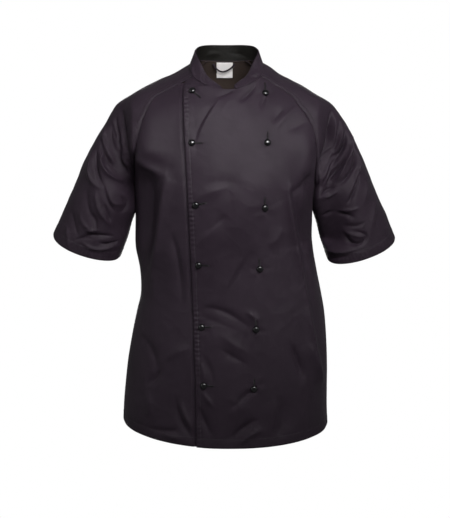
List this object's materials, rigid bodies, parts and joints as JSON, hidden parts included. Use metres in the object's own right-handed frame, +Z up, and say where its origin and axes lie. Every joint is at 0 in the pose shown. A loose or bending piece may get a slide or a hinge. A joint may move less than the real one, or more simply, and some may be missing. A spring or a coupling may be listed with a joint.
{
  "type": "chef jacket",
  "caption": "Short-sleeved double-breasted chef jacket in black twill, filled out as worn, with a band collar, raglan sleeves, domed stud buttons and side vents.",
  "frame": {"origin": "middle of the neck at the height where the shoulders meet the collar, where a wearer's neck and shoulders hold it", "axes": "+Z up along the wearer's trunk, -Y the way the front faces, +X to the wearer's left"},
  "size_m": [0.736, 0.2952, 0.8306],
  "materials": {
    "black_twill": "matt to slightly lustrous black polycotton twill",
    "black_stud": "polished black",
    "white_label": "satin woven tape, blank"
  },
  "bodies": {
    "root": {"front_left": "black_twill", "front_right": "black_twill", "back": "black_twill", "sleeve_left": "black_twill", "sleeve_right": "black_twill", "collar": "black_twill", "label": "white_label", "hanger_loop": "black_twill", "button_right_1": "black_stud", "button_left_1": "black_stud", "button_right_2": "black_stud", "button_left_2": "black_stud", "button_right_3": "black_stud", "button_left_3": "black_stud", "button_right_4": "black_stud", "button_left_4": "black_stud", "button_right_5": "black_stud", "button_left_5": "black_stud", "button_right_6": "black_stud", "button_left_6": "black_stud"}
  },
  "joints": []
}
